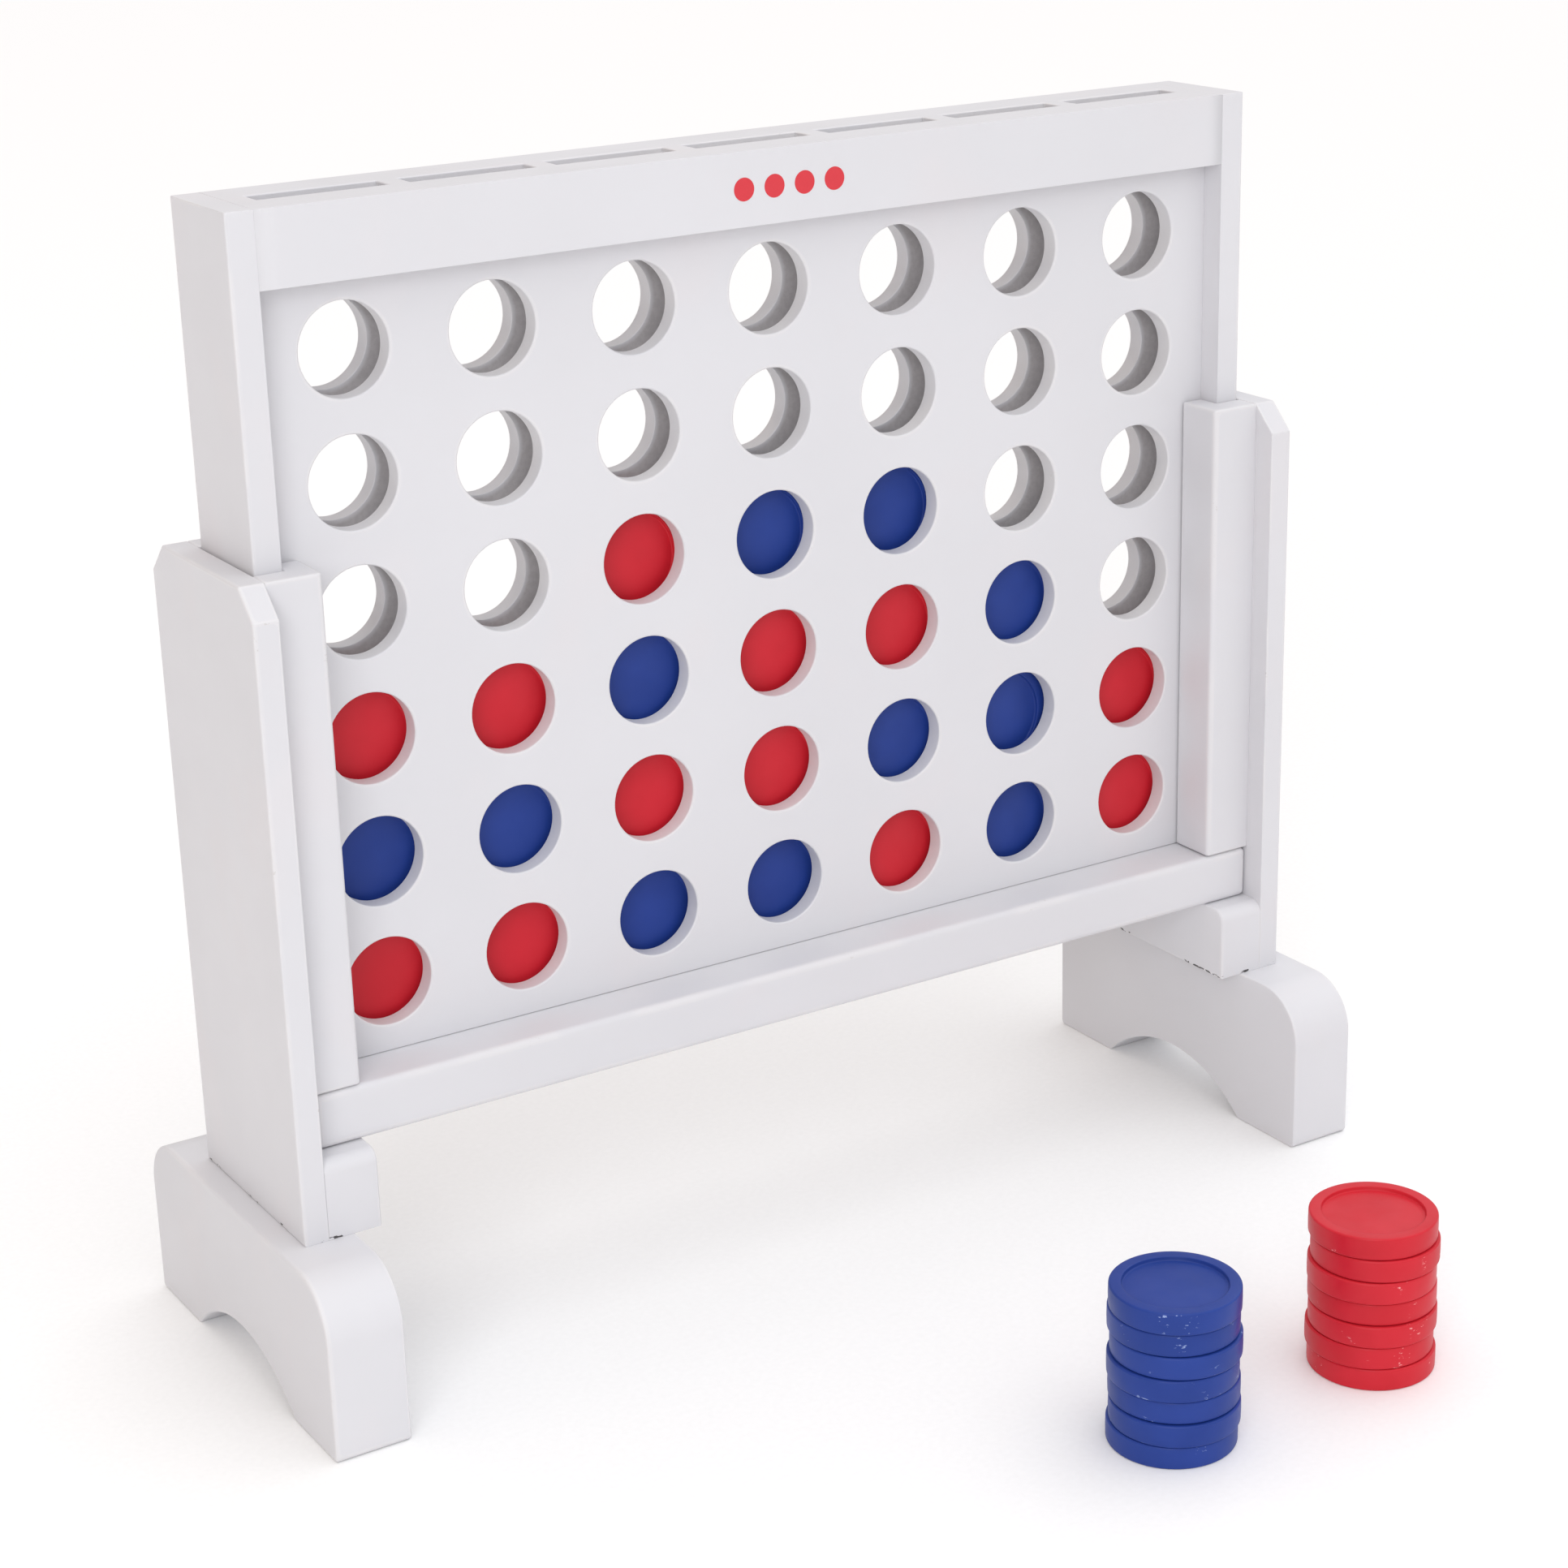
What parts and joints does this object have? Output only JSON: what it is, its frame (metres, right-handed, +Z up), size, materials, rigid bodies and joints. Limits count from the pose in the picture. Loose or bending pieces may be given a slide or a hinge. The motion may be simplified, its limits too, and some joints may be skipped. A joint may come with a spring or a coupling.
{
  "type": "giant four in a row",
  "caption": "Free-standing painted wooden board with columns of round holes, a slotted top rail, two footed legs, a pull-out release bar and loose coloured discs.",
  "frame": {"origin": "on the ground, under the middle of the box round the whole set, stacks of discs included", "axes": "+X along the board to the right as its front is seen, -Y out of the front, +Z up"},
  "size_m": [0.656, 0.4716, 0.6045],
  "materials": {
    "white_paint": "satin white paint on planed softwood and board",
    "red_plastic": "moulded satin plastic",
    "blue_plastic": "moulded satin plastic"
  },
  "bodies": {
    "legs": {"left_leg_plate": "white_paint", "left_front_batten": "white_paint", "left_rear_batten": "white_paint", "left_bracket_block": "white_paint", "left_foot": "white_paint", "right_leg_plate": "white_paint", "right_front_batten": "white_paint", "right_rear_batten": "white_paint", "right_bracket_block": "white_paint", "right_foot": "white_paint"},
    "board": {"top_rail": "white_paint", "left_side_rail": "white_paint", "right_side_rail": "white_paint", "front_panel": "white_paint", "rear_panel": "white_paint", "column_divider_1": "white_paint", "column_divider_2": "white_paint", "column_divider_3": "white_paint", "column_divider_4": "white_paint", "column_divider_5": "white_paint", "column_divider_6": "white_paint"},
    "release_bar": {"release_bar": "white_paint"},
    "disc_c1_r1_red": {"disc_c1_r1_red": "red_plastic"},
    "disc_c1_r2_blue": {"disc_c1_r2_blue": "blue_plastic"},
    "disc_c1_r3_red": {"disc_c1_r3_red": "red_plastic"},
    "disc_c2_r1_red": {"disc_c2_r1_red": "red_plastic"},
    "disc_c2_r2_blue": {"disc_c2_r2_blue": "blue_plastic"},
    "disc_c2_r3_red": {"disc_c2_r3_red": "red_plastic"},
    "disc_c3_r1_blue": {"disc_c3_r1_blue": "blue_plastic"},
    "disc_c3_r2_red": {"disc_c3_r2_red": "red_plastic"},
    "disc_c3_r3_blue": {"disc_c3_r3_blue": "blue_plastic"},
    "disc_c3_r4_red": {"disc_c3_r4_red": "red_plastic"},
    "disc_c4_r1_blue": {"disc_c4_r1_blue": "blue_plastic"},
    "disc_c4_r2_red": {"disc_c4_r2_red": "red_plastic"},
    "disc_c4_r3_red": {"disc_c4_r3_red": "red_plastic"},
    "disc_c4_r4_blue": {"disc_c4_r4_blue": "blue_plastic"},
    "disc_c5_r1_red": {"disc_c5_r1_red": "red_plastic"},
    "disc_c5_r2_blue": {"disc_c5_r2_blue": "blue_plastic"},
    "disc_c5_r3_red": {"disc_c5_r3_red": "red_plastic"},
    "disc_c5_r4_blue": {"disc_c5_r4_blue": "blue_plastic"},
    "disc_c6_r1_blue": {"disc_c6_r1_blue": "blue_plastic"},
    "disc_c6_r2_blue": {"disc_c6_r2_blue": "blue_plastic"},
    "disc_c6_r3_blue": {"disc_c6_r3_blue": "blue_plastic"},
    "disc_c7_r1_red": {"disc_c7_r1_red": "red_plastic"},
    "disc_c7_r2_red": {"disc_c7_r2_red": "red_plastic"},
    "disc_stack_blue_1": {"disc_stack_blue_1": "blue_plastic"},
    "disc_stack_blue_2": {"disc_stack_blue_2": "blue_plastic"},
    "disc_stack_blue_3": {"disc_stack_blue_3": "blue_plastic"},
    "disc_stack_blue_4": {"disc_stack_blue_4": "blue_plastic"},
    "disc_stack_blue_5": {"disc_stack_blue_5": "blue_plastic"},
    "disc_stack_blue_6": {"disc_stack_blue_6": "blue_plastic"},
    "disc_stack_blue_7": {"disc_stack_blue_7": "blue_plastic"},
    "disc_stack_red_1": {"disc_stack_red_1": "red_plastic"},
    "disc_stack_red_2": {"disc_stack_red_2": "red_plastic"},
    "disc_stack_red_3": {"disc_stack_red_3": "red_plastic"},
    "disc_stack_red_4": {"disc_stack_red_4": "red_plastic"},
    "disc_stack_red_5": {"disc_stack_red_5": "red_plastic"},
    "disc_stack_red_6": {"disc_stack_red_6": "red_plastic"},
    "disc_stack_red_7": {"disc_stack_red_7": "red_plastic"}
  },
  "joints": [
    {"name": "board_lift", "type": "slide", "parent": "legs", "child": "board", "axis": [0, 0, 1], "range_m": [0, 0.267]},
    {"name": "release_bar_pull", "type": "slide", "parent": "legs", "child": "release_bar", "axis": [0, -1, 0], "range_m": [0, 0.06]},
    {"name": "disc_c1_r1_lift", "type": "slide", "parent": "legs", "child": "disc_c1_r1_red", "axis": [0, 0, 1], "range_m": [0, 0.0658]},
    {"name": "disc_c1_r2_lift", "type": "slide", "parent": "disc_c1_r1_red", "child": "disc_c1_r2_blue", "axis": [0, 0, 1], "range_m": [0, 0.0658]},
    {"name": "disc_c1_r3_lift", "type": "slide", "parent": "disc_c1_r2_blue", "child": "disc_c1_r3_red", "axis": [0, 0, 1], "range_m": [0, 0.3072]},
    {"name": "disc_c2_r1_lift", "type": "slide", "parent": "legs", "child": "disc_c2_r1_red", "axis": [0, 0, 1], "range_m": [0, 0.0658]},
    {"name": "disc_c2_r2_lift", "type": "slide", "parent": "disc_c2_r1_red", "child": "disc_c2_r2_blue", "axis": [0, 0, 1], "range_m": [0, 0.0658]},
    {"name": "disc_c2_r3_lift", "type": "slide", "parent": "disc_c2_r2_blue", "child": "disc_c2_r3_red", "axis": [0, 0, 1], "range_m": [0, 0.3072]},
    {"name": "disc_c3_r1_lift", "type": "slide", "parent": "legs", "child": "disc_c3_r1_blue", "axis": [0, 0, 1], "range_m": [0, 0.0658]},
    {"name": "disc_c3_r2_lift", "type": "slide", "parent": "disc_c3_r1_blue", "child": "disc_c3_r2_red", "axis": [0, 0, 1], "range_m": [0, 0.0658]},
    {"name": "disc_c3_r3_lift", "type": "slide", "parent": "disc_c3_r2_red", "child": "disc_c3_r3_blue", "axis": [0, 0, 1], "range_m": [0, 0.0658]},
    {"name": "disc_c3_r4_lift", "type": "slide", "parent": "disc_c3_r3_blue", "child": "disc_c3_r4_red", "axis": [0, 0, 1], "range_m": [0, 0.2414]},
    {"name": "disc_c4_r1_lift", "type": "slide", "parent": "legs", "child": "disc_c4_r1_blue", "axis": [0, 0, 1], "range_m": [0, 0.0658]},
    {"name": "disc_c4_r2_lift", "type": "slide", "parent": "disc_c4_r1_blue", "child": "disc_c4_r2_red", "axis": [0, 0, 1], "range_m": [0, 0.0658]},
    {"name": "disc_c4_r3_lift", "type": "slide", "parent": "disc_c4_r2_red", "child": "disc_c4_r3_red", "axis": [0, 0, 1], "range_m": [0, 0.0658]},
    {"name": "disc_c4_r4_lift", "type": "slide", "parent": "disc_c4_r3_red", "child": "disc_c4_r4_blue", "axis": [0, 0, 1], "range_m": [0, 0.2414]},
    {"name": "disc_c5_r1_lift", "type": "slide", "parent": "legs", "child": "disc_c5_r1_red", "axis": [0, 0, 1], "range_m": [0, 0.0658]},
    {"name": "disc_c5_r2_lift", "type": "slide", "parent": "disc_c5_r1_red", "child": "disc_c5_r2_blue", "axis": [0, 0, 1], "range_m": [0, 0.0658]},
    {"name": "disc_c5_r3_lift", "type": "slide", "parent": "disc_c5_r2_blue", "child": "disc_c5_r3_red", "axis": [0, 0, 1], "range_m": [0, 0.0658]},
    {"name": "disc_c5_r4_lift", "type": "slide", "parent": "disc_c5_r3_red", "child": "disc_c5_r4_blue", "axis": [0, 0, 1], "range_m": [0, 0.2414]},
    {"name": "disc_c6_r1_lift", "type": "slide", "parent": "legs", "child": "disc_c6_r1_blue", "axis": [0, 0, 1], "range_m": [0, 0.0658]},
    {"name": "disc_c6_r2_lift", "type": "slide", "parent": "disc_c6_r1_blue", "child": "disc_c6_r2_blue", "axis": [0, 0, 1], "range_m": [0, 0.0658]},
    {"name": "disc_c6_r3_lift", "type": "slide", "parent": "disc_c6_r2_blue", "child": "disc_c6_r3_blue", "axis": [0, 0, 1], "range_m": [0, 0.3072]},
    {"name": "disc_c7_r1_lift", "type": "slide", "parent": "legs", "child": "disc_c7_r1_red", "axis": [0, 0, 1], "range_m": [0, 0.0658]},
    {"name": "disc_c7_r2_lift", "type": "slide", "parent": "disc_c7_r1_red", "child": "disc_c7_r2_red", "axis": [0, 0, 1], "range_m": [0, 0.373]},
    {"name": "disc_stack_blue_1_lift", "type": "slide", "parent": "legs", "child": "disc_stack_blue_1", "axis": [0, 0, 1], "range_m": [0, 0.06]},
    {"name": "disc_stack_blue_2_lift", "type": "slide", "parent": "disc_stack_blue_1", "child": "disc_stack_blue_2", "axis": [0, 0, 1], "range_m": [0, 0.06]},
    {"name": "disc_stack_blue_3_lift", "type": "slide", "parent": "disc_stack_blue_2", "child": "disc_stack_blue_3", "axis": [0, 0, 1], "range_m": [0, 0.06]},
    {"name": "disc_stack_blue_4_lift", "type": "slide", "parent": "disc_stack_blue_3", "child": "disc_stack_blue_4", "axis": [0, 0, 1], "range_m": [0, 0.06]},
    {"name": "disc_stack_blue_5_lift", "type": "slide", "parent": "disc_stack_blue_4", "child": "disc_stack_blue_5", "axis": [0, 0, 1], "range_m": [0, 0.06]},
    {"name": "disc_stack_blue_6_lift", "type": "slide", "parent": "disc_stack_blue_5", "child": "disc_stack_blue_6", "axis": [0, 0, 1], "range_m": [0, 0.06]},
    {"name": "disc_stack_blue_7_lift", "type": "slide", "parent": "disc_stack_blue_6", "child": "disc_stack_blue_7", "axis": [0, 0, 1], "range_m": [0, 0.06]},
    {"name": "disc_stack_red_1_lift", "type": "slide", "parent": "legs", "child": "disc_stack_red_1", "axis": [0, 0, 1], "range_m": [0, 0.06]},
    {"name": "disc_stack_red_2_lift", "type": "slide", "parent": "disc_stack_red_1", "child": "disc_stack_red_2", "axis": [0, 0, 1], "range_m": [0, 0.06]},
    {"name": "disc_stack_red_3_lift", "type": "slide", "parent": "disc_stack_red_2", "child": "disc_stack_red_3", "axis": [0, 0, 1], "range_m": [0, 0.06]},
    {"name": "disc_stack_red_4_lift", "type": "slide", "parent": "disc_stack_red_3", "child": "disc_stack_red_4", "axis": [0, 0, 1], "range_m": [0, 0.06]},
    {"name": "disc_stack_red_5_lift", "type": "slide", "parent": "disc_stack_red_4", "child": "disc_stack_red_5", "axis": [0, 0, 1], "range_m": [0, 0.06]},
    {"name": "disc_stack_red_6_lift", "type": "slide", "parent": "disc_stack_red_5", "child": "disc_stack_red_6", "axis": [0, 0, 1], "range_m": [0, 0.06]},
    {"name": "disc_stack_red_7_lift", "type": "slide", "parent": "disc_stack_red_6", "child": "disc_stack_red_7", "axis": [0, 0, 1], "range_m": [0, 0.06]}
  ]
}
